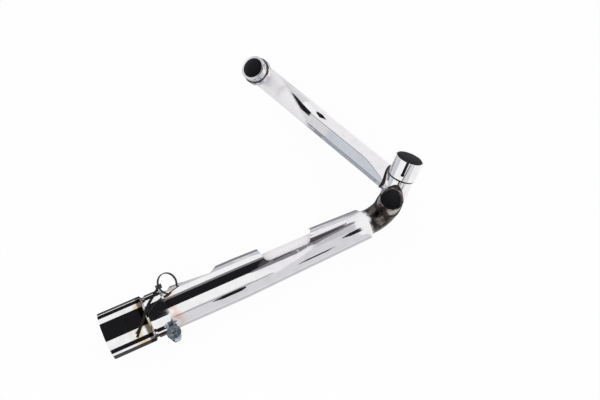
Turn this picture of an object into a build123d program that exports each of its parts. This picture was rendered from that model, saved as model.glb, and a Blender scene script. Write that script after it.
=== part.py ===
from build123d import *
import math
import os

# Motorcycle exhaust header: a head pipe from the cylinder head tees into a level run.
# The run carries a slotted slip collar, an open crossover stub, a heat shield and a
# clamped outlet sleeve. Millimetres. The origin is the centre of the outlet mouth, the run
# lies along +X, +Y points across towards the head pipe and +Z is up.

# Main pipe: level run, one bend and a riser that ends in the slip collar
TUBE_OD = 38.1
TUBE_WALL = 1.6
RUN_LENGTH = 282.0           # outlet cone to the bend
BEND_RADIUS = 46.0
BEND_ANGLE = 60.0
BEND_LEAN = 68.0             # the bend's plane, turned from +Y towards +Z
RISER_LENGTH = 73.0          # end of the bend to the collar's mouth

# Slip collar on the riser
COLLAR_CLEARANCE = 0.4       # slip fit of the next pipe
COLLAR_SEAT_GAP = 0.05       # on the riser's end
COLLAR_WALL = 1.1
COLLAR_LENGTH = 29.0
COLLAR_SOCKET = 25.0         # depth that takes the next pipe
SLOT_ANGLES = (-90.0, 0.0, 90.0)
SLOT_WIDTH = 4.0
SLOT_LENGTH = 20.0
SLOT_EYE_RADIUS = 2.6
SLOT_TURN = -1.5             # middle slot, turned about the collar's axis from the stub's side

# Head pipe: straight tube, tight elbow and a turned port ferrule
HEAD_OD = 36.5
HEAD_WALL = 1.6
TEE_DEPTH = 47.0             # collar's mouth down to where the head pipe's axis meets the riser
HEAD_LENGTH = 259.0          # riser axis to the start of the elbow
HEAD_HEADING = 105.0
HEAD_CLIMB_ANGLE = -8.9
ELBOW_RADIUS = 38.0
ELBOW_LAND = 3.0             # straight end of the tube behind the ferrule
PORT_HEADING = 187.6
PORT_CLIMB_ANGLE = 62.2
PORT_BORE = 32.4
FERRULE_COLLAR_OD = 44.5
FERRULE_COLLAR_LENGTH = 8.0
FERRULE_SPIGOT_OD = 39.7
FERRULE_SPIGOT_LENGTH = 13.0
FERRULE_EDGE = 0.8

# Crossover stub, on the back of the bend
STUB_OD = 34.9
STUB_WALL = 1.6
STUB_LENGTH = 42.0           # from the bend's centre line
STUB_DEPTH = 85.04           # back from the collar's mouth, along the main pipe
STUB_HEADING = 255.7
STUB_CLIMB_ANGLE = 78.1

# Weld beads
HEAD_NECK_LENGTH = 4.5       # formed neck on the riser, up to the head pipe's weld
HEAD_BEAD_WIDTH = 2.6
HEAD_BEAD_RISE = 1.0
HEAD_BEAD_ROOM = 0.3         # between that bead and the collar
SADDLE_BEAD = 2.0            # reach of the stub's weld on each tube
RING_BEAD_WIDTH = 3.0
RING_BEAD_RISE = 1.6
SEAM_RADIUS = 1.1
SEAM_LENGTH = 16.0

# Outlet: slip sleeve with a slotted neck, gasket and cone
SLEEVE_OD = 67.0
SLEEVE_WALL = 1.6
SLEEVE_LENGTH = 60.0         # wide part, up to the step
STEP_LENGTH = 3.0
NECK_OVERHANG = 1.0          # neck past the clamp
NECK_WALL = 1.2
NECK_SLOT_COUNT = 4
NECK_SLOT_WIDTH = 3.0
NECK_SLOT_LENGTH = 19.0
GASKET_THICKNESS = 1.3
GASKET_CLEARANCE = 0.1
CONE_MOUTH_OD = 54.0
CONE_WALL = 1.6
CONE_LAND_LENGTH = 28.0      # straight mouth inside the neck
CONE_LENGTH = 35.0           # from the straight mouth to the run

# Band clamp on the neck
CLAMP_CLEARANCE = 0.1
CLAMP_SETBACK = 3.0          # from the sleeve's step
CLAMP_WIDTH = 22.0
CLAMP_THICKNESS = 1.6
CLAMP_GAP = 5.0
CLAMP_TURN = 32.0            # ears, turned from straight below towards the shield's front
EAR_INSET = 2.0              # ears' middle, back from the band's edge
EAR_HALF_WIDTH = 7.0
EAR_THICKNESS = 2.5
EAR_SHIELD_GAP = 0.5
BOLT_DIAMETER = 8.0
BOLT_OFFSET = 41.0           # bolt axis to run axis
BOLT_CLEARANCE = 0.2
BOLT_STICK_OUT = 2.0
HEX_ACROSS_FLATS = 13.0
HEX_HEIGHT = 5.3
NUT_HEIGHT = 8.0
NUT_FLANGE_DIAMETER = 20.0
NUT_FLANGE_HEIGHT = 2.0

# Heat shield: rolled sheet round the front of the run
SHIELD_FACING = 22.0         # the shield's front, turned from +Z towards -Y
SHIELD_RADIUS = 30.0
SHIELD_END_RADIUS = 24.0
SHIELD_SHEET = 1.2
SHIELD_SETBACK = 3.0         # from the clamp
SHIELD_BEND_GAP = 6.0        # its far end stops short of the bend
SHIELD_STRAIGHT = 109.0      # part ahead of the taper
SHIELD_BACK = 6.0            # how far the sheet wraps behind the run's axis
NOTCH_OFFSET = 149.0         # from the shield's outlet end, as the tab
NOTCH_LENGTH = 68.0
NOTCH_HEIGHT = 6.0           # notch floor above the run's axis
NOTCH_FILLET = 8.0
TAB_OFFSET = 81.0
TAB_HEIGHT = 34.0
LOW_EDGE_HEIGHT = 23.5       # upper edge beside the left tab
TIP_HEIGHT = 29.0
TIP_RUN = 13.0               # the slanted corner at the shield's upper left
TIP_DROP = 9.1

# Standoffs that carry the shield on the run
STANDOFF_SHEET = 1.6
STANDOFF_FOOT = 14.0
STANDOFF_SWEEP = 80.0
REAR_STANDOFF_OFFSET = 115.0   # from the shield's outlet end
FRONT_STANDOFF_INSET = 50.0    # from its far end
SEAT_GAP = 0.1

# Cable tie left looped on the shield's upper corner
TIE_WIDTH = 3.6
TIE_THICKNESS = 1.3
TIE_LOOP_RADIUS = 14.5
TIE_LOOP_CENTRE = (11.8, 33.7, 21.0)     # from the shield's corner: along, up it and out of its front
TIE_LOOP_TILT = 32.0
TIE_HEAD_SIZE = (7.0, 6.0, 5.0)
TIE_KNEE = (-22.0, 17.0, 36.2)
TIE_END = (-51.0, -17.0, 36.2)
TIE_HOLE_CLEARANCE = 0.3

# How far the slot cutters reach through the walls they cut
CUT_REACH = 6.0

tube_radius = TUBE_OD / 2
tube_bore = tube_radius - TUBE_WALL
head_radius = HEAD_OD / 2
head_bore = head_radius - HEAD_WALL
stub_radius = STUB_OD / 2
stub_bore = stub_radius - STUB_WALL
branch_reach = 2 * TUBE_OD

# Places along the run, from the outlet's mouth
step_end = SLEEVE_LENGTH + STEP_LENGTH
clamp_start = step_end + CLAMP_SETBACK
clamp_end = clamp_start + CLAMP_WIDTH
neck_end = clamp_end + NECK_OVERHANG
ear_centre = clamp_end - EAR_INSET
cone_start = step_end + CONE_LAND_LENGTH
run_start = cone_start + CONE_LENGTH
bend_start = run_start + RUN_LENGTH
shield_start = clamp_end + SHIELD_SETBACK
taper_start = shield_start + SHIELD_STRAIGHT
shield_end = bend_start - SHIELD_BEND_GAP
notch_start = shield_start + NOTCH_OFFSET
notch_end = notch_start + NOTCH_LENGTH
tab_start = shield_start + TAB_OFFSET


def pointing(heading, climb):
    """Unit vector from a heading about Z and a climb above the XY plane, in degrees."""
    level = math.cos(math.radians(climb))
    turn = math.radians(heading)
    return Vector(level * math.cos(turn), level * math.sin(turn), math.sin(math.radians(climb)))


def rod(start, axis, length, radius):
    """Round bar from a point along an axis."""
    return extrude(Plane(origin=start, z_dir=axis) * Circle(radius), length)


def along(path, radius):
    """Round bar that follows a path."""
    return sweep(Plane(origin=path @ 0, z_dir=path % 0) * Circle(radius), path=path)


def turned(points, plane):
    """Solid of revolution from (distance along, radius) points about the plane's X axis."""
    outline = make_face(Polyline(*points, close=True))
    return revolve(plane * outline, axis=Axis(plane.origin, plane.x_dir))


def about(axis_start, axis):
    """Plane whose X axis is the given axis, for turned shapes."""
    side = axis.cross(Vector(0, 0, 1)) if abs(axis.Z) < 0.95 else axis.cross(Vector(0, 1, 0))
    return Plane(origin=axis_start, x_dir=axis, z_dir=side)


# Axes and corner points that the pieces share
run_axis = Vector(1, 0, 0)
bend_side = Vector(0, math.cos(math.radians(BEND_LEAN)), math.sin(math.radians(BEND_LEAN)))
bend_plane = Plane(origin=(run_start, 0, 0), x_dir=run_axis, z_dir=run_axis.cross(bend_side))
riser_axis = (run_axis * math.cos(math.radians(BEND_ANGLE))
              + bend_side * math.sin(math.radians(BEND_ANGLE)))


def on_bend(angle):
    """Point on the bend's centre line, in degrees from its start."""
    turn = math.radians(angle)
    forward = run_axis * (bend_start + BEND_RADIUS * math.sin(turn))
    return forward + bend_side * (BEND_RADIUS * (1 - math.cos(turn)))


bend_end = on_bend(BEND_ANGLE)
stub_base = on_bend(BEND_ANGLE - math.degrees((STUB_DEPTH - RISER_LENGTH) / BEND_RADIUS))
collar_mouth = bend_end + riser_axis * RISER_LENGTH
collar_base = collar_mouth - riser_axis * COLLAR_LENGTH
tee_point = collar_mouth - riser_axis * TEE_DEPTH
head_axis = pointing(HEAD_HEADING, HEAD_CLIMB_ANGLE)
port_axis = pointing(PORT_HEADING, PORT_CLIMB_ANGLE)
stub_axis = pointing(STUB_HEADING, STUB_CLIMB_ANGLE)
stub_side = (stub_axis - riser_axis * stub_axis.dot(riser_axis)).normalized()
seam_side = stub_side.rotate(Axis((0, 0, 0), riser_axis), SLOT_TURN)
run_plane = Plane(origin=(0, 0, 0), x_dir=run_axis, z_dir=(0, -1, 0))

facing = math.radians(SHIELD_FACING)
front = Plane(origin=(0, 0, 0), x_dir=run_axis, z_dir=(0, -math.sin(facing), math.cos(facing)))


def main_path():
    """Centre line of the run, its bend and the riser up to the collar's socket."""
    with BuildLine(bend_plane) as line:
        run = Line((0, 0), (RUN_LENGTH, 0))
        bend = JernArc(run @ 1, run % 1, BEND_RADIUS, BEND_ANGLE)
        riser = RISER_LENGTH - COLLAR_SOCKET
        Line(bend @ 1, (bend @ 1) + (bend % 1) * riser)
    return line.wire()


def head_path():
    """Centre line of the head pipe from the riser's axis to the ferrule."""
    elbow_turn = head_axis.get_angle(port_axis)
    plane = Plane(origin=tee_point, x_dir=head_axis, z_dir=head_axis.cross(port_axis))
    with BuildLine(plane) as line:
        straight = Line((0, 0), (HEAD_LENGTH, 0))
        elbow = JernArc(straight @ 1, straight % 1, ELBOW_RADIUS, elbow_turn)
        Line(elbow @ 1, (elbow @ 1) + (elbow % 1) * ELBOW_LAND)
    return line.wire()


main_line = main_path()
head_line = head_path()
ferrule_base = head_line @ 1

main_solid = along(main_line, tube_radius)
neck_reach = along(main_line, tube_radius + HEAD_NECK_LENGTH)
head_solid = along(head_line, head_radius)
head_end = rod(tee_point, head_axis, branch_reach, head_radius)
stub_solid = rod(stub_base, stub_axis, STUB_LENGTH, stub_radius)
stub_way = rod(stub_base, stub_axis, branch_reach, stub_radius)


def main_pipe():
    """Run, bend and riser, with a neck for the head pipe and an opening for the stub."""
    tube = main_solid + (head_end & neck_reach) - along(main_line, tube_bore)
    tube -= rod(tee_point, head_axis, branch_reach, head_bore)
    return tube - rod(stub_base, stub_axis, branch_reach, stub_bore)


def head_pipe():
    """Bent tube, saddle cut where it meets the riser's neck."""
    return head_solid - along(head_line, head_bore) - neck_reach


def port_ferrule():
    """Turned end ring: a collar for the head's flange and a spigot for the port."""
    bore = PORT_BORE / 2
    collar = FERRULE_COLLAR_OD / 2
    spigot = FERRULE_SPIGOT_OD / 2
    mouth = FERRULE_COLLAR_LENGTH + FERRULE_SPIGOT_LENGTH
    return turned(
        [
            (0, bore),
            (0, collar - FERRULE_EDGE),
            (FERRULE_EDGE, collar),
            (FERRULE_COLLAR_LENGTH - FERRULE_EDGE, collar),
            (FERRULE_COLLAR_LENGTH, collar - FERRULE_EDGE),
            (FERRULE_COLLAR_LENGTH, spigot),
            (mouth - FERRULE_EDGE, spigot),
            (mouth, spigot - FERRULE_EDGE),
            (mouth, bore),
        ],
        about(ferrule_base, port_axis),
    )


def ring_bead(start, axis, radius):
    """Fillet weld round a tube: widest against the shoulder at its start."""
    return turned(
        [(0, radius), (0, radius + RING_BEAD_RISE), (-RING_BEAD_WIDTH, radius)],
        about(start, axis),
    )


def port_weld():
    return ring_bead(ferrule_base, port_axis, head_radius)


def saddle_bead(line, axis, start, radius):
    """Bead along the line where a branch leaves the main pipe."""
    grown_branch = rod(start, axis, branch_reach, radius + SADDLE_BEAD)
    grown_main = along(line, tube_radius + SADDLE_BEAD)
    return grown_branch & grown_main


def junction_weld():
    """Bead round the head pipe, over its joint with the neck."""
    bead = rod(tee_point, head_axis, branch_reach, head_radius + HEAD_BEAD_RISE) - head_end
    outer = along(main_line, tube_radius + HEAD_NECK_LENGTH + HEAD_BEAD_WIDTH / 2)
    inner = along(main_line, tube_radius + HEAD_NECK_LENGTH - HEAD_BEAD_WIDTH / 2)
    return (bead & outer) - inner - stub_solid


def stub_weld():
    bead = saddle_bead(main_line, stub_axis, stub_base, stub_radius) - stub_way - main_solid
    return bead - head_end - junction_weld()


def crossover_stub():
    """Open tube, saddle cut on the outside of the main pipe."""
    return stub_solid - rod(stub_base, stub_axis, STUB_LENGTH, stub_bore) - main_solid


collar_bore = tube_radius + COLLAR_CLEARANCE
collar_radius = collar_bore + COLLAR_WALL
bead_room = rod(tee_point, head_axis, branch_reach, head_radius + HEAD_BEAD_RISE + HEAD_BEAD_ROOM)
collar_plane = Plane(origin=collar_mouth, x_dir=seam_side, z_dir=riser_axis)


def slip_collar():
    """Socket with keyhole slots, so that a clamp can close it on the next pipe."""
    seat = tube_radius + COLLAR_SEAT_GAP
    collar = turned(
        [
            (0, collar_bore),
            (0, collar_radius),
            (-COLLAR_LENGTH, collar_radius),
            (-COLLAR_LENGTH, seat),
            (-COLLAR_SOCKET, seat),
            (-COLLAR_SOCKET, collar_bore),
        ],
        about(collar_mouth, riser_axis),
    )
    slot = Pos(collar_bore, 0, -SLOT_LENGTH / 2) * Box(CUT_REACH, SLOT_WIDTH, SLOT_LENGTH)
    eye = Pos(collar_bore, 0, -SLOT_LENGTH) * Rot(0, 90, 0) * Cylinder(SLOT_EYE_RADIUS, CUT_REACH)
    for angle in SLOT_ANGLES:
        collar -= collar_plane * Rot(0, 0, angle) * (slot + eye)
    return collar - bead_room


def collar_weld():
    return ring_bead(collar_base, riser_axis, tube_radius) - main_solid - bead_room


def seam_weld():
    """Bead down the front of the riser, from the collar towards the stub."""
    top = collar_base - riser_axis * RING_BEAD_WIDTH
    bead = rod(top + seam_side * tube_radius, riser_axis * -1, SEAM_LENGTH, SEAM_RADIUS)
    return bead - main_solid - stub_way - stub_weld()


cone_mouth = CONE_MOUTH_OD / 2
gasket_inner = cone_mouth + GASKET_CLEARANCE
gasket_outer = gasket_inner + GASKET_THICKNESS
neck_bore = gasket_outer + GASKET_CLEARANCE
neck_radius = neck_bore + NECK_WALL
sleeve_radius = SLEEVE_OD / 2
sleeve_bore = sleeve_radius - SLEEVE_WALL


def outlet_cone():
    """Spun cone that opens the run out to the clamped joint."""
    return turned(
        [
            (step_end, cone_mouth),
            (cone_start, cone_mouth),
            (run_start, tube_radius),
            (run_start, tube_bore),
            (cone_start, cone_mouth - CONE_WALL),
            (step_end, cone_mouth - CONE_WALL),
        ],
        run_plane,
    )


def cone_weld():
    """Bead over the butt joint of the cone and the run."""
    bead = turned(
        [
            (run_start - RING_BEAD_WIDTH, tube_bore),
            (run_start - RING_BEAD_WIDTH, tube_radius + RING_BEAD_RISE),
            (run_start, tube_radius + RING_BEAD_RISE),
            (run_start + RING_BEAD_WIDTH, tube_radius),
            (run_start + RING_BEAD_WIDTH, tube_bore),
        ],
        run_plane,
    )
    cone_core = turned(
        [
            (cone_start, 0),
            (cone_start, cone_mouth),
            (run_start, tube_radius),
            (run_start, 0),
        ],
        run_plane,
    )
    return bead - cone_core - main_solid


def outlet_gasket():
    return turned(
        [
            (clamp_start, gasket_inner),
            (clamp_start, gasket_outer),
            (neck_end, gasket_outer),
            (neck_end, gasket_inner),
        ],
        run_plane,
    )


def outlet_sleeve():
    """Wide outlet with a step down to a slotted neck."""
    sleeve = turned(
        [
            (0, sleeve_bore),
            (0, sleeve_radius),
            (SLEEVE_LENGTH, sleeve_radius),
            (step_end, neck_radius),
            (neck_end, neck_radius),
            (neck_end, neck_bore),
            (step_end - SLEEVE_WALL, neck_bore),
            (SLEEVE_LENGTH - SLEEVE_WALL, sleeve_bore),
        ],
        run_plane,
    )
    slot_centre = neck_end - NECK_SLOT_LENGTH / 2
    slot = Pos(slot_centre, 0, neck_radius) * Box(NECK_SLOT_LENGTH, NECK_SLOT_WIDTH, CUT_REACH)
    for index in range(NECK_SLOT_COUNT):
        sleeve -= front * Rot(360 * (index + 0.5) / NECK_SLOT_COUNT, 0, 0) * slot
    return sleeve


clamp_bore = neck_radius + CLAMP_CLEARANCE
clamp_radius = clamp_bore + CLAMP_THICKNESS
ear_outer = CLAMP_GAP / 2 + EAR_THICKNESS
# Local X runs along the header, local Y points down through the ears, local Z is the bolt's axis
clamp_frame = front * Rot(180 - CLAMP_TURN, 0, 0)
# The bolt is turned round, so that its nut faces the front
bolt_place = clamp_frame * Pos(ear_centre, BOLT_OFFSET, 0) * Rot(180, 0, 0)


def clamp_band():
    """Rolled strap with its two ends folded out as ears."""
    band = clamp_frame * Pos(clamp_start, 0, 0) * Rot(0, 90, 0) * extrude(
        Circle(clamp_radius) - Circle(clamp_bore), CLAMP_WIDTH
    )
    ear = Pos(ear_centre, BOLT_OFFSET / 2, 0) * Box(2 * EAR_HALF_WIDTH, BOLT_OFFSET, 2 * ear_outer)
    ear += Pos(ear_centre, BOLT_OFFSET, 0) * Cylinder(EAR_HALF_WIDTH, 2 * ear_outer)
    root = SHIELD_RADIUS + EAR_SHIELD_GAP
    ear -= Pos(ear_centre, 0, 0) * Rot(0, 90, 0) * Cylinder(root, 4 * EAR_HALF_WIDTH)
    gap = Pos(ear_centre, BOLT_OFFSET, 0) * Box(4 * CLAMP_WIDTH, BOLT_OFFSET, CLAMP_GAP)
    hole = Pos(ear_centre, BOLT_OFFSET, 0) * Cylinder(BOLT_DIAMETER / 2 + BOLT_CLEARANCE, 4 * ear_outer)
    return band + clamp_frame * ear - clamp_frame * gap - clamp_frame * hole


def clamp_bolt():
    """Hexagon bolt from behind, through both ears and the nut."""
    head_face = -ear_outer
    shank_end = ear_outer + NUT_HEIGHT + BOLT_STICK_OUT
    head = extrude(RegularPolygon(HEX_ACROSS_FLATS / 2, 6, major_radius=False), HEX_HEIGHT)
    shank = extrude(Circle(BOLT_DIAMETER / 2), shank_end - head_face)
    return bolt_place * (Pos(0, 0, head_face - HEX_HEIGHT) * head + Pos(0, 0, head_face) * shank)


def clamp_nut():
    """Flange nut on the front ear."""
    flange = extrude(Circle(NUT_FLANGE_DIAMETER / 2), NUT_FLANGE_HEIGHT)
    body = extrude(RegularPolygon(HEX_ACROSS_FLATS / 2, 6, major_radius=False), NUT_HEIGHT)
    bore = extrude(Circle(BOLT_DIAMETER / 2 + SEAT_GAP), NUT_HEIGHT)
    return bolt_place * Pos(0, 0, ear_outer) * (flange + body - bore)


def shield_radius(place):
    """Outer radius of the shield at a place along the run."""
    share = (place - taper_start) / (shield_end - taper_start)
    return SHIELD_RADIUS + (SHIELD_END_RADIUS - SHIELD_RADIUS) * max(0.0, share)


shield_corner = front * Pos(shield_start, 0, 0)


def tie_loop(grow=0.0):
    """Closed strap loop, standing on the shield's upper corner."""
    thick = TIE_THICKNESS / 2 + grow
    wide = TIE_WIDTH / 2 + grow
    outer = TIE_LOOP_RADIUS + thick
    inner = TIE_LOOP_RADIUS - thick
    ring = extrude(Circle(outer) - Circle(inner), wide, both=True)
    return shield_corner * Pos(*TIE_LOOP_CENTRE) * Rot(0, TIE_LOOP_TILT, 0) * ring


def heat_shield():
    """Rolled and tapered sheet with a notch and two raised tabs along its upper edge."""
    reach = 2 * SHIELD_RADIUS
    sheet = turned(
        [
            (shield_start, SHIELD_RADIUS),
            (taper_start, SHIELD_RADIUS),
            (shield_end, SHIELD_END_RADIUS),
            (shield_end, SHIELD_END_RADIUS - SHIELD_SHEET),
            (taper_start, SHIELD_RADIUS - SHIELD_SHEET),
            (shield_start, SHIELD_RADIUS - SHIELD_SHEET),
        ],
        run_plane,
    )
    slope = TAB_HEIGHT - LOW_EDGE_HEIGHT
    edge = Polyline(
        (shield_start, -reach),
        (shield_start, TIP_HEIGHT - TIP_DROP),
        (shield_start + TIP_RUN, TIP_HEIGHT),
        (tab_start - slope, LOW_EDGE_HEIGHT),
        (tab_start + slope, TAB_HEIGHT),
        (notch_start - NOTCH_FILLET / 2, TAB_HEIGHT),
        (notch_start, NOTCH_HEIGHT),
        (notch_end, NOTCH_HEIGHT),
        (notch_end + SHIELD_END_RADIUS - NOTCH_HEIGHT, TAB_HEIGHT),
        (shield_end - SHIELD_END_RADIUS / 2, TAB_HEIGHT),
        (shield_end, SHIELD_END_RADIUS / 2),
        (shield_end, -reach),
        close=True,
    )
    outline = make_face(edge)
    # Groups go up the sheet: its lower edge first, then the notch's floor
    floor_corners = outline.vertices().group_by(Axis.Y)[1]
    outline = fillet(floor_corners, NOTCH_FILLET)
    kept = front * Pos(0, 0, -SHIELD_BACK) * extrude(outline, reach + SHIELD_BACK)
    return (sheet & kept) - tie_loop(TIE_HOLE_CLEARANCE)


def standoff(place):
    """Z-section clip: a foot on the run, a web and a flange against the shield."""
    foot = tube_radius + SEAT_GAP
    sheet = STANDOFF_SHEET

    def seat(where):
        return shield_radius(where) - SHIELD_SHEET - SEAT_GAP

    far = place + sheet + STANDOFF_FOOT
    profile = make_face(
        Polyline(
            (place - STANDOFF_FOOT, foot),
            (place + sheet, foot),
            (place + sheet, seat(place + sheet) - sheet),
            (far, seat(far) - sheet),
            (far, seat(far)),
            (place, seat(place)),
            (place, foot + sheet),
            (place - STANDOFF_FOOT, foot + sheet),
            close=True,
        )
    )
    start = Plane(origin=(0, 0, 0), x_dir=run_axis, z_dir=(0, -math.cos(facing), -math.sin(facing)))
    return revolve(start * profile, axis=Axis((0, 0, 0), (1, 0, 0)), revolution_arc=STANDOFF_SWEEP)


def cable_tie():
    """Moulded strap: loop, locking head and loose tail across the sleeve."""
    knee = Vector(*TIE_KNEE)
    end = Vector(*TIE_END)
    tilt = math.radians(TIE_LOOP_TILT)
    left = Vector(*TIE_LOOP_CENTRE) + Vector(-math.cos(tilt), 0, math.sin(tilt)) * TIE_LOOP_RADIUS
    head = Pos(*left) * Rot(0, TIE_LOOP_TILT, 0) * Box(*TIE_HEAD_SIZE)
    strap = head
    for first, second in ((left, knee), (knee, end)):
        run = second - first
        side = run.cross(Vector(0, 0, 1))
        strip = Plane(origin=first, x_dir=side, z_dir=run)
        strap += extrude(strip * Rectangle(TIE_WIDTH, TIE_THICKNESS), run.length + TIE_THICKNESS / 2)
    return tie_loop() + shield_corner * strap


pieces = {
    "main_pipe": main_pipe(),
    "head_pipe": head_pipe(),
    "port_ferrule": port_ferrule(),
    "port_weld": port_weld(),
    "junction_weld": junction_weld(),
    "crossover_stub": crossover_stub(),
    "stub_weld": stub_weld(),
    "slip_collar": slip_collar(),
    "collar_weld": collar_weld(),
    "seam_weld": seam_weld(),
    "outlet_cone": outlet_cone(),
    "cone_weld": cone_weld(),
    "outlet_gasket": outlet_gasket(),
    "outlet_sleeve": outlet_sleeve(),
    "clamp_band": clamp_band(),
    "clamp_bolt": clamp_bolt(),
    "clamp_nut": clamp_nut(),
    "heat_shield": heat_shield(),
    "rear_standoff": standoff(shield_start + REAR_STANDOFF_OFFSET),
    "front_standoff": standoff(shield_end - FRONT_STANDOFF_INSET),
    "cable_tie": cable_tie(),
}

os.makedirs("parts", exist_ok=True)
for name, piece in pieces.items():
    export_step(piece, f"parts/{name}.step")
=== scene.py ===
import math

import bmesh
import bpy
from mathutils import Matrix, Vector


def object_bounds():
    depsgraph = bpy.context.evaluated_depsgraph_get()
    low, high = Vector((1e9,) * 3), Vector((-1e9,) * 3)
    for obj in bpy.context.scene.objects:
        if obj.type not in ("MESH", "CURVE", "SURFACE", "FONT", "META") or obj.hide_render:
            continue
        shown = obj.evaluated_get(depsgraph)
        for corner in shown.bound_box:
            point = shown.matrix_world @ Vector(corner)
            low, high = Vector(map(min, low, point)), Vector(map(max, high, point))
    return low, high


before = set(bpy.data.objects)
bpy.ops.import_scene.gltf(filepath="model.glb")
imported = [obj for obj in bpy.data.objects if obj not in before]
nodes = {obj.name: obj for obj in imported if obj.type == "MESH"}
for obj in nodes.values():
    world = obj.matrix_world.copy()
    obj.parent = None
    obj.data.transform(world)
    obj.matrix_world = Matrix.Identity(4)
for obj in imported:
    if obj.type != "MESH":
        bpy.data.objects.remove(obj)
first_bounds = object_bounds()

MM_PER_METRE = 1000.0

# The photo's place and view: lens, its heading from +Y towards +X and its dip. No roll
LENS = Vector((0.116584, -0.372983, 0.938351))
VIEW_TURN = math.radians(25.51)
VIEW_DIP = math.radians(62.0)
FOCAL_MM = 42.0
FILM_MM = 36.0

# Axes of the tubes, and each tube that mirrors: a point on its axis, the axis and the outside radius
RUN_AXIS = Vector((1.0, 0.0, 0.0))
TEE = Vector((0.46084, 0.01704, 0.04218))
HEAD_AXIS = Vector((-0.2557, 0.9543, -0.1547)).normalized()
RISER_AXIS = Vector((0.5, 0.3244, 0.8030))
SLEEVE = (Vector(), RUN_AXIS, 0.0335)
SHIELD = (Vector(), RUN_AXIS, 0.0295)
HEAD = (TEE, HEAD_AXIS, 0.01825)

# Port ring: its mouth and axis. Real lathe lines are far too fine to show, so these are drawn coarse, and
# they also serve as painted dark reflections on the ring
PORT_AXIS = Vector((-0.4623, -0.0617, 0.8846))
PORT_MOUTH = Vector((0.3540, 0.2994, 0.0533))
LATHE_AND_REFLECTION_PITCH = 0.0052

# Stretches along X, in metres from the outlet: where each begins, is full, starts to fade and ends
UNDER_SHIELD = (0.122, 0.128, 0.392, 0.400)
STRAW_TINT = (0.026, 0.044, 0.060, 0.066)
# The pink stretch is a painted reflection
ROSE_REFLECTION = (0.088, 0.092, 0.098, 0.112)
# The brown ring is a painted dark reflection of the sleeve's lip
DARK_RING_REFLECTION = (0.0525, 0.0555, 0.0600, 0.0612)
RING_DEPTH = 0.85

# Dark bend, in metres: heat tint that is darkened further by a painted dark reflection and by painted shade
# on the inner curve. It begins along the run, ends along the riser, and its border wanders by the drift
DARK_BEND_BEGINS = (0.398, 0.408)
DARK_BEND_ENDS = (0.238, 0.250)
DARK_BEND_DRIFT = 0.014
DARK_BEND_GRAIN_MM = 13.0

# Soot and painted shade: how far the bore's shade is looked for, and the share of open light from bore to
# outside
BORE_REACH = 0.040
BORE_LIGHT = (0.80, 0.95)

# Floor: its half width, its height and the share of plain white in it. The rest of it shows the shadow
FLOOR_REACH = 6.0
FLOOR_LEVEL = first_bounds[0].z
WHITE_SHARE = 0.95

CARD_STEPS = 8      # each card's facets, round the tube that mirrors it
CARD_LIFT = 0.002   # of a card that lies on the floor

KEY_SIZE = (0.62, 0.46)
KEY_POWER = 1.3
KEY_PLACE = (-0.10, -0.45, 0.85)

# Settings of nodes that are often added: a smooth change, and a mix of colours
SMOOTH = {"interpolation_type": "SMOOTHSTEP"}
COLOUR = {"data_type": "RGBA"}


def shade(code):
    """Linear RGBA from an sRGB hex code."""
    parts = [int(code[i:i + 2], 16) / 255 for i in (1, 3, 5)]
    return [c / 12.92 if c <= 0.04045 else ((c + 0.055) / 1.055) ** 2.4 for c in parts] + [1.0]


def join(tree, node, inputs):
    """Gives a node its inputs: a socket is linked, and a plain value is set on the input itself."""
    for key, value in inputs.items():
        if isinstance(value, bpy.types.NodeSocket):
            tree.links.new(value, node.inputs[key])
        else:
            node.inputs[key].default_value = value


def add(tree, kind, inputs, out=0, **settings):
    """Adds a shader node with its settings and inputs, and gives one of its outputs."""
    node = tree.nodes.new("ShaderNode" + kind)
    for name, value in settings.items():
        setattr(node, name, value)
    join(tree, node, inputs)
    return node.outputs[out]


def onlooker(tree):
    """1 for what the lens sees, straight or in metal and glass, 0 for light that falls on a surface."""
    path = add(tree, "LightPath", {}).node.outputs
    sides = {0: path["Is Glossy Ray"], 1: path["Is Transmission Ray"]}
    mirror = add(tree, "Math", sides, operation="MAXIMUM")
    return add(tree, "Math", {0: path["Is Camera Ray"], 1: mirror}, operation="MAXIMUM")


def material(name):
    """New material with its tree, its shader and its object coordinates."""
    made = bpy.data.materials.new(name)
    made.use_nodes = True
    tree = made.node_tree
    place = add(tree, "TexCoord", {}, "Object")
    return made, tree, tree.nodes["Principled BSDF"], place


def blotches(tree, place, size_mm, low, high, detail=3.0):
    """Cloud with grains about size_mm across: as it is, and with low and high drawn apart to 0 and 1."""
    cloud = add(tree, "TexNoise", {"Vector": place, "Scale": MM_PER_METRE / size_mm, "Detail": detail})
    strong = add(tree, "MapRange", {"Value": cloud, "From Min": low, "From Max": high}, **SMOOTH)
    return cloud, strong


def stretch(tree, along, begin, full, fade, end):
    """1 on a stretch along X, 0 off it, with soft ends."""
    rise = add(tree, "MapRange", {"Value": along, "From Min": begin, "From Max": full}, **SMOOTH)
    ends = {"Value": along, "From Min": fade, "From Max": end, "To Min": 1.0, "To Max": 0.0}
    return add(tree, "Math", {0: rise, 1: add(tree, "MapRange", ends, **SMOOTH)}, operation="MULTIPLY")


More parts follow.
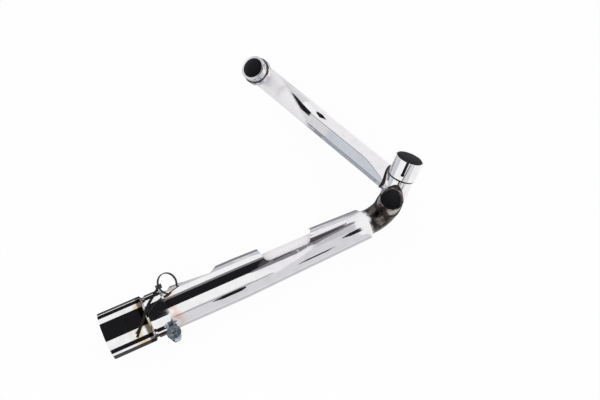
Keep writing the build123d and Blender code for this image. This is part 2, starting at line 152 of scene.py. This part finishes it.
def dark_bend_mask(tree, place, along):
    """1 on the bend between the shield's end and the stub, 0 elsewhere, with a cloudy border: heat tint with
    a painted dark reflection and painted shade.
    """
    grain = {"Vector": place, "Scale": MM_PER_METRE / DARK_BEND_GRAIN_MM, "Detail": 3.0}
    cloud = add(tree, "TexNoise", grain)
    drift = add(tree, "MapRange", {"Value": cloud, "To Min": -DARK_BEND_DRIFT, "To Max": DARK_BEND_DRIFT})
    climb = add(tree, "VectorMath", {0: place, 1: RISER_AXIS}, "Value", operation="DOT_PRODUCT")
    low, high = DARK_BEND_BEGINS
    start = add(tree, "Math", {0: along, 1: drift}, operation="ADD")
    rise = add(tree, "MapRange", {"Value": start, "From Min": low, "From Max": high}, **SMOOTH)
    low, high = DARK_BEND_ENDS
    stop = add(tree, "Math", {0: climb, 1: drift}, operation="ADD")
    ends = {"Value": stop, "From Min": low, "From Max": high, "To Min": 1.0, "To Max": 0.0}
    return add(tree, "Math", {0: rise, 1: add(tree, "MapRange", ends, **SMOOTH)}, operation="MULTIPLY")


def sooted_and_shaded(tree, skin, colour, rough, soot_and_shade_code, soot_rough, matt=None):
    """Finishes a tube's skin: its own colour and shine outside, and a dull sooty dark wherever ambient
    occlusion is low, inside the bore and in tight concave corners, partly a real deposit and partly painted
    shade.

    Matt, where it is given, is 1 on a part of the outside that has no metal shine either.
    """
    open_light = add(tree, "AmbientOcclusion", {"Distance": BORE_REACH}, "AO", samples=16, only_local=True)
    low, high = BORE_LIGHT
    inside = {"Value": open_light, "From Min": low, "From Max": high, "To Min": 1.0, "To Max": 0.0}
    # Painted shade: the colour turns dark and dull where ambient occlusion finds the surface enclosed, on
    # top of the sooty deposit
    soot_and_shade = add(tree, "MapRange", inside, **SMOOTH)
    dead = soot_and_shade if matt is None else add(tree, "Math", {0: soot_and_shade, 1: matt}, operation="MAXIMUM")
    metal = {"Value": dead, "From Min": 0.1, "From Max": 0.6, "To Min": 1.0, "To Max": 0.0}
    gloss = {"Value": soot_and_shade, "From Min": 0.0, "From Max": 0.6, "To Min": 1.0, "To Max": 0.0}
    covered = {"Factor": soot_and_shade, "A": colour, "B": shade(soot_and_shade_code)}
    join(tree, skin, {
        "Base Color": add(tree, "Mix", covered, "Result", **COLOUR),
        "Metallic": add(tree, "MapRange", metal, **SMOOTH),
        "Specular IOR Level": add(tree, "MapRange", gloss, **SMOOTH),
        "Roughness": add(tree, "Mix", {"Factor": dead, "A": rough, "B": soot_rough}, "Result"),
    })


def chrome_tube():
    """Bright chrome on bent tube: mirror shine with a faint haze, and dark brown by the hot junction, where
    heat tint is darkened further by a painted dark reflection and painted shade.

    The run under the shield is matt and nearly as white as the ground, a painted white reflection, and so is
    the head pipe's elbow, which lies in the same stretch along X. Inside, the tubes are sooty black, partly
    painted shade.
    """
    made, tree, skin, place = material("bright chrome on tube, sooty bore")
    haze, patches = blotches(tree, place, size_mm=9.0, low=0.35, high=0.75)
    bright = {"Factor": patches, "A": shade("#f3f2f2"), "B": shade("#ebeaec")}
    clean = add(tree, "Mix", bright, "Result", **COLOUR)
    along = add(tree, "SeparateXYZ", {"Vector": place}, "X")
    under = stretch(tree, along, *UNDER_SHIELD)
    # Painted white reflection: matt near-white stands in for the white that the chrome would mirror under
    # the shield, and the head pipe's elbow gets it too
    pale = add(tree, "Mix", {"Factor": under, "A": clean, "B": shade("#fbfbfb")}, "Result", **COLOUR)
    # Painted dark reflection and painted shade on top of heat tint: the bend's near-black brown mottle
    dark_bend_mottle = blotches(tree, place, size_mm=11.0, low=0.42, high=0.7)[1]
    browned = {"Factor": dark_bend_mottle, "A": shade("#2f2c2c"), "B": shade("#7c7470")}
    brown = add(tree, "Mix", browned, "Result", **COLOUR)
    dark_bend = dark_bend_mask(tree, place, along)
    colour = add(tree, "Mix", {"Factor": dark_bend, "A": pale, "B": brown}, "Result", **COLOUR)
    shine = add(tree, "MapRange", {"Value": haze, "To Min": 0.03, "To Max": 0.08})
    worn = add(tree, "Mix", {"Factor": dark_bend, "A": shine, "B": 0.2}, "Result")
    sooted_and_shaded(tree, skin, colour, worn, "#545458", 0.8, matt=under)
    return made


def turned_ring():
    """Turned and plated port ring: bright metal with dull lines round it, coarse lathe lines that also serve
    as painted dark reflections, and sooty black inside, partly painted shade.
    """
    made, tree, skin, place = material("turned port ring, lathe lines")
    inward = add(tree, "VectorMath", {0: place, 1: PORT_MOUTH}, operation="SUBTRACT")
    depth = add(tree, "VectorMath", {0: inward, 1: PORT_AXIS}, "Value", operation="DOT_PRODUCT")
    angle = add(tree, "Math", {0: depth, 1: 2 * math.pi / LATHE_AND_REFLECTION_PITCH}, operation="MULTIPLY")
    wave = add(tree, "Math", {0: angle}, operation="COSINE")
    # Painted dark reflection: the ring's dark bands are drawn as these coarse lathe lines
    trough = {"Value": wave, "From Min": -0.55, "From Max": 0.05, "To Min": 1.0, "To Max": 0.0}
    patches = blotches(tree, place, size_mm=9.0, low=0.46, high=0.58)[1]
    broken = {0: add(tree, "MapRange", trough, **SMOOTH), 1: patches}
    lathe_and_reflection_lines = add(tree, "Math", broken, operation="MULTIPLY")
    lined = {"Factor": lathe_and_reflection_lines, "A": shade("#efeced"), "B": shade("#6d6867")}
    colour = add(tree, "Mix", lined, "Result", **COLOUR)
    dull = add(tree, "MapRange", {"Value": lathe_and_reflection_lines, "To Min": 0.12, "To Max": 0.35})
    sooted_and_shaded(tree, skin, colour, dull, "#4b4b50", 0.9)
    return made


def burnt_tube():
    """Scorched chrome stub: brown and grey blotches, dull rim, and sooty black inside, partly painted shade.
    """
    made, tree, skin, place = material("scorched chrome stub")
    blotch, patches = blotches(tree, place, size_mm=6.0, low=0.38, high=0.62, detail=4.0)
    browned = {"Factor": patches, "A": shade("#3d332c"), "B": shade("#b9aca2")}
    colour = add(tree, "Mix", browned, "Result", **COLOUR)
    worn = add(tree, "MapRange", {"Value": blotch, "To Min": 0.16, "To Max": 0.36})
    sooted_and_shaded(tree, skin, colour, worn, "#6c6c70", 0.9)
    return made


def chrome_sheet():
    """Chromed sheet: clear mirror shine, straw heat tint, a pink patch that is a painted reflection, and a
    brown ring by the clamp that is a painted dark reflection.
    """
    made, tree, skin, place = material("chromed sheet with straw heat tint")
    along = add(tree, "SeparateXYZ", {"Vector": place}, "X")
    haze, patches = blotches(tree, place, size_mm=12.0, low=0.35, high=0.75)
    bright = {"Factor": patches, "A": shade("#f2f1f2"), "B": shade("#eae9eb")}
    colour = add(tree, "Mix", bright, "Result", **COLOUR)
    cloud = blotches(tree, place, size_mm=16.0, low=0.42, high=0.58, detail=2.0)[1]
    straw = (STRAW_TINT, cloud, "#dccbaf")
    # Painted reflection: a pink patch at the shield's end stands for a pinkish reflection
    rose_reflection = (ROSE_REFLECTION, cloud, "#eacdc4")
    # Painted dark reflection: the brown ring by the sleeve's end
    ring = (DARK_RING_REFLECTION, RING_DEPTH, "#3a302a")
    # Straw is heat tint, and the pink patch and the ring are painted reflections, mixed in the same way
    for where, depth, code in (straw, rose_reflection, ring):
        tint = add(tree, "Math", {0: stretch(tree, along, *where), 1: depth}, operation="MULTIPLY")
        colour = add(tree, "Mix", {"Factor": tint, "A": colour, "B": shade(code)}, "Result", **COLOUR)
    rough = add(tree, "MapRange", {"Value": haze, "To Min": 0.04, "To Max": 0.07})
    join(tree, skin, {"Base Color": colour, "Metallic": 1.0, "Roughness": rough})
    return made


def weld_metal():
    """Weld bead: dark bronze-brown metal with fine ripples."""
    made, tree, skin, place = material("brown weld bead, rippled")
    grain, patches = blotches(tree, place, size_mm=2.2, low=0.35, high=0.65, detail=4.0)
    browned = {"Factor": patches, "A": shade("#1e1a18"), "B": shade("#4c433d")}
    colour = add(tree, "Mix", browned, "Result", **COLOUR)
    ripple = add(tree, "Bump", {"Height": grain, "Strength": 0.5, "Distance": 0.0006})
    join(tree, skin, {"Base Color": colour, "Metallic": 1.0, "Roughness": 0.34, "Normal": ripple})
    return made


def plain_finish(name, dark, light, metal, smoothest, roughest):
    """Plain surface with a soft cloud of tone and shine."""
    made, tree, skin, place = material(name)
    cloud, patches = blotches(tree, place, size_mm=5.0, low=0.3, high=0.7)
    colour = add(tree, "Mix", {"Factor": patches, "A": shade(dark), "B": shade(light)}, "Result", **COLOUR)
    rough = add(tree, "MapRange", {"Value": cloud, "To Min": smoothest, "To Max": roughest})
    join(tree, skin, {"Base Color": colour, "Metallic": metal, "Roughness": rough})
    return made


finishes = {
    "chromed_tube": chrome_tube(),
    "turned_ring": turned_ring(),
    "burnt_tube": burnt_tube(),
    "chromed_sheet": chrome_sheet(),
    "weld_bead": weld_metal(),
    # grey and soft: the clamped seal reads as a dull ring
    "graphite_gasket": plain_finish("dull grey graphite seal", "#37383a", "#4a4b4d", 0.0, 0.7, 0.9),
    # blue-grey zinc: softer shine than the chrome around it
    "zinc_plate": plain_finish("blue-grey zinc plate", "#8e9ba8", "#cfd8e0", 1.0, 0.2, 0.38),
    # bare steel strap under the shield: grey with a blurred shine
    "plain_steel": plain_finish("bare steel strap", "#8d8c8a", "#a8a6a3", 1.0, 0.3, 0.5),
    # moulded nylon: near black with a soft sheen
    "black_nylon": plain_finish("moulded black nylon", "#0b0b0c", "#17171a", 0.0, 0.35, 0.5),
}
# Welds take the weld's finish, and every piece that isn't named here the chromed tube's
finish_of = {
    "port_ferrule": "turned_ring", "crossover_stub": "burnt_tube", "outlet_gasket": "graphite_gasket",
    "heat_shield": "chromed_sheet", "outlet_sleeve": "chromed_sheet", "clamp_band": "chromed_sheet",
    "clamp_bolt": "zinc_plate", "clamp_nut": "zinc_plate", "cable_tie": "black_nylon",
    "rear_standoff": "plain_steel", "front_standoff": "plain_steel",
}
for name, piece in nodes.items():
    key = "weld_bead" if name.endswith("_weld") else finish_of.get(name, "chromed_tube")
    piece.data.materials.clear()
    piece.data.materials.append(finishes[key])

# World: pale studio light that greys towards the horizon, and plain white to the lens and to mirrors
world = bpy.data.worlds.new("pale studio")
bpy.context.scene.world = world
world.use_nodes = True
tree = world.node_tree
height = add(tree, "SeparateXYZ", {"Vector": add(tree, "TexCoord", {}, "Generated")}, "Z")
climb = add(tree, "MapRange", {"Value": height, "From Min": 0.0, "From Max": 0.5}, **SMOOTH)
pale = add(tree, "Mix", {"Factor": climb, "A": shade("#a3a0a3"), "B": shade("#f1eff1")}, "Result", **COLOUR)
seen = {"Factor": onlooker(tree), "A": pale, "B": shade("#ffffff")}
sky = add(tree, "Mix", seen, "Result", **COLOUR)
join(tree, tree.nodes["Background"], {"Color": sky, "Strength": 1.0})
# The chrome finds the sky by its own mirror rays alone, so that none of it leaks past a dark card
world.cycles.sampling_method = "NONE"


def staged(name, build, finish):
    """Puts a stage mesh into the scene and gives its object."""
    mesh = bpy.data.meshes.new(name)
    build.to_mesh(mesh)
    build.free()
    mesh.materials.append(finish)
    made = bpy.data.objects.new(name, mesh)
    bpy.context.scene.collection.objects.link(made)
    return made


def glow(name, code):
    """Even card of light, for what the chrome mirrors."""
    made = bpy.data.materials.new(name)
    made.use_nodes = True
    tree = made.node_tree
    tree.nodes.remove(tree.nodes["Principled BSDF"])
    light = add(tree, "Emission", {"Color": shade(code), "Strength": 1.0})
    join(tree, tree.nodes["Material Output"], {"Surface": light})
    # Found by mirror rays alone, so that no card shows through another that stands before it
    made.cycles.emission_sampling = "NONE"
    return made


def ground():
    """White paper floor: white to the lens and to mirrors, with a faint shadow of the object."""
    made = bpy.data.materials.new("white paper floor")
    made.use_nodes = True
    tree = made.node_tree
    tree.nodes.remove(tree.nodes["Principled BSDF"])
    paper = add(tree, "BsdfDiffuse", {"Color": shade("#f6f6f6")})
    white = add(tree, "Emission", {"Color": shade("#ffffff"), "Strength": 1.0})
    share = add(tree, "Math", {0: onlooker(tree), 1: WHITE_SHARE}, operation="MULTIPLY")
    mixed = add(tree, "MixShader", {0: share, 1: paper, 2: white})
    join(tree, tree.nodes["Material Output"], {"Surface": mixed})
    return made


floor = bmesh.new()
bmesh.ops.create_grid(floor, x_segments=1, y_segments=1, size=FLOOR_REACH)
bmesh.ops.translate(floor, verts=floor.verts, vec=(0.0, 0.0, FLOOR_LEVEL))
staged("floor", floor, ground())


def mirrored(tube, along, around, reach):
    """Point that the lens sees mirrored in a tube.

    The mirroring place is so far along the tube and at an angle round from its near side. The point
    lies on the floor where the reach would go below it.
    """
    base, axis, radius = tube
    spot = base + axis * along
    back = LENS - spot
    back = (back - axis * back.dot(axis)).normalized()
    turn = math.radians(around)
    normal = back * math.cos(turn) + axis.cross(back) * math.sin(turn)
    wall = spot + normal * radius
    ray = (wall - LENS).normalized()
    away = ray - normal * (2 * ray.dot(normal))
    drop = (FLOOR_LEVEL + CARD_LIFT - wall.z) / away.z if away.z < 0 else reach
    return wall + away * min(reach, drop)


def flag(name, tube, reach, finish, stations):
    """Studio card that shows in a tube as a strip, and that nothing but the chrome's mirror sees.

    Each station is millimetres along the tube and two angles round it, in degrees. The reach is the
    card's distance from the tube, and a card with a shorter reach hides one with a longer reach.
    """
    card = bmesh.new()
    gaps = len(stations) - 1
    bmesh.ops.create_grid(card, x_segments=CARD_STEPS, y_segments=gaps, size=1.0)
    for corner in card.verts:
        across = (corner.co.x + 1) / 2
        place, first, last = stations[round((corner.co.y + 1) / 2 * gaps)]
        corner.co = mirrored(tube, place / MM_PER_METRE, first + (last - first) * across, reach)
    made = staged(name, card, finish)
    made.visible_camera = False
    made.visible_diffuse = False
    made.visible_shadow = False
    made.visible_transmission = False


black = glow("black flag", "#1e1d20")
dim = glow("dim flag", "#4c4a4d")
grey = glow("grey flag", "#86848a")
steel = glow("steel flag", "#b3bbc8")
blue = glow("blue-grey flag", "#cfd5dd")
silver = glow("silver flag", "#dfdfe2")
pearl = glow("pearl flag", "#cdccd0")
rosy = glow("rosy card", "#f8f6f9")
white = glow("white card", "#ffffff")

# Cards for the sleeve and the clamp
flag("sleeve_dark", SLEEVE, 0.5, black, [(-60, -33, 11.5), (90, -33, 11.5)])
flag("sleeve_white", SLEEVE, 0.5, white, [(-6, 12, 34), (90, 12, 34)])
flag("sleeve_low", SLEEVE, 0.4, black, [(-2, 35, 48), (90, 35, 48)])
flag("sleeve_rim", SLEEVE, 0.4, dim, [(-6, 57, 86), (90, 57, 86)])
flag("sleeve_edge", SLEEVE, 0.4, dim, [(-6, -84, -65), (90, -84, -65)])
flag("sleeve_pale", SLEEVE, 0.38, white, [(-6, -47, -34), (90, -47, -34)])
flag("sleeve_top", SLEEVE, 0.38, black, [(-6, -62, -48), (90, -62, -48)])

# Cards for the shield
flag("shield_dark", SHIELD, 0.5, black, [(90, -25, -2.5), (232, -25, -2.5), (250, -25, -8)])
flag("shield_dusk", SHIELD, 0.505, dim, [(225, -25, -4), (305, -24, -8), (386, -24, -19)])
flag("shield_notch", SHIELD, 0.51, grey, [(232, -22, 0), (305, -22, 1), (360, -22, -8), (402, -22, -14)])
flag("shield_pale", SHIELD, 0.5, white, [(90, -48, -36), (402, -48, -36)])
flag("shield_shade", SHIELD, 0.51, grey, [(90, -31, -24), (232, -31, -24), (390, -31, -23)])
flag("shield_rim", SHIELD, 0.4, pearl, [(90, 60, 86), (402, 58, 86)])
flag("shield_top", SHIELD, 0.4, grey, [(90, -84, -62), (402, -84, -62)])
flag("shield_white", SHIELD, 0.5, white, [(90, -2, 21), (232, -2, 21), (266, 19, 21)])
flag("shield_soft", SHIELD, 0.52, rosy, [(232, -2, 24), (266, -2, 28), (330, -6, 6)])
flag("shield_grey", SHIELD, 0.52, pearl, [(330, -6, 6), (402, -12, 6)])
flag("shield_mist", SHIELD, 0.53, silver, [(90, 21, 38), (266, 21, 38), (330, 6, 38), (402, 6, 38)])
flag("shield_fold", SHIELD, 0.5, pearl, [(90, -62, -48), (402, -62, -48)])
flag("shield_low", SHIELD, 0.4, silver, [(90, 37, 58), (402, 37, 56)])
flag("shield_line", SHIELD, 0.45, grey, [(96, 24, 26), (260, 24, 26)])
flag("shield_lens", SHIELD, 0.35, black, [(149, 29, 30), (165, 26, 35), (192, 26, 35), (207, 28, 29)])
flag("shield_strip", SHIELD, 0.35, black, [(294, 34, 35), (310, 31, 36), (340, 31, 36), (354, 31, 32)])
flag("shield_blotch", SHIELD, 0.4, black, [(372, 14, 15), (385, 9, 20), (404, 7, 20)])

# Cards for the head pipe: cool side, rosy side, thin line and two dark patches
flag("head_near", HEAD, 0.17, blue,
     [(10, -42, -30), (25, -42, -18), (42, -42, -5), (60, -42, 4), (140, -42, 4)])
flag("head_shade", HEAD, 0.17, steel, [(10, -62, -42), (140, -62, -42)])
flag("head_far", HEAD, 0.17, silver, [(140, -48, 4), (262, -48, 4)])
flag("head_dusk", HEAD, 0.17, blue, [(140, -62, -48), (262, -62, -48)])
flag("head_edge", HEAD, 0.3, steel, [(0, -84, -62), (262, -84, -62)])
flag("head_pale", HEAD, 0.17, rosy,
     [(10, -30, 60), (25, -18, 60), (42, -5, 60), (60, 4, 60), (206, 4, 60)])
flag("head_sky", HEAD, 0.17, silver, [(206, 4, 60), (262, 4, 60)])
flag("head_line", HEAD, 0.165, dim,
     [(10, -30, -28), (25, -18, -16), (42, -5, -3), (60, 4, 6), (262, 4, 6)])
flag("head_quad", HEAD, 0.16, black, [(185, -10, 10), (205, -8, 16), (222, -10, 24), (238, 4, 30)])
flag("head_patch", HEAD, 0.16, black, [(158, 28, 32), (168, 16, 40), (180, 20, 36)])
flag("head_gleam", HEAD, 0.162, white, [(165, 8, 16), (185, 12, 40), (210, 18, 42)])

# Soft key light on the near side. The chrome mirrors the cards in its place, so it gives no shine of its own
key_data = bpy.data.lights.new("near softbox", "AREA")
key_data.shape = "RECTANGLE"
key_data.size, key_data.size_y = KEY_SIZE
key_data.energy = KEY_POWER
key_light = bpy.data.objects.new("near softbox", key_data)
bpy.context.scene.collection.objects.link(key_light)
key_light.visible_glossy = False
key_light.location = KEY_PLACE
key_light.rotation_euler = key_light.location.to_track_quat("Z", "Y").to_euler()

# Camera at the photo's place
lens = bpy.data.cameras.new("photo camera")
lens.lens = FOCAL_MM
lens.sensor_width = FILM_MM
camera = bpy.data.objects.new("photo camera", lens)
bpy.context.scene.collection.objects.link(camera)
right = Vector((math.cos(VIEW_TURN), -math.sin(VIEW_TURN), 0.0))
level = Vector((math.sin(VIEW_TURN), math.cos(VIEW_TURN), 0.0))
ahead = level * math.cos(VIEW_DIP) - Vector((0.0, 0.0, math.sin(VIEW_DIP)))
turned = Matrix((right, right.cross(ahead), -ahead)).transposed().to_4x4()
camera.matrix_world = Matrix.Translation(LENS) @ turned
bpy.context.scene.camera = camera
bpy.context.scene.view_settings.view_transform = "Standard"
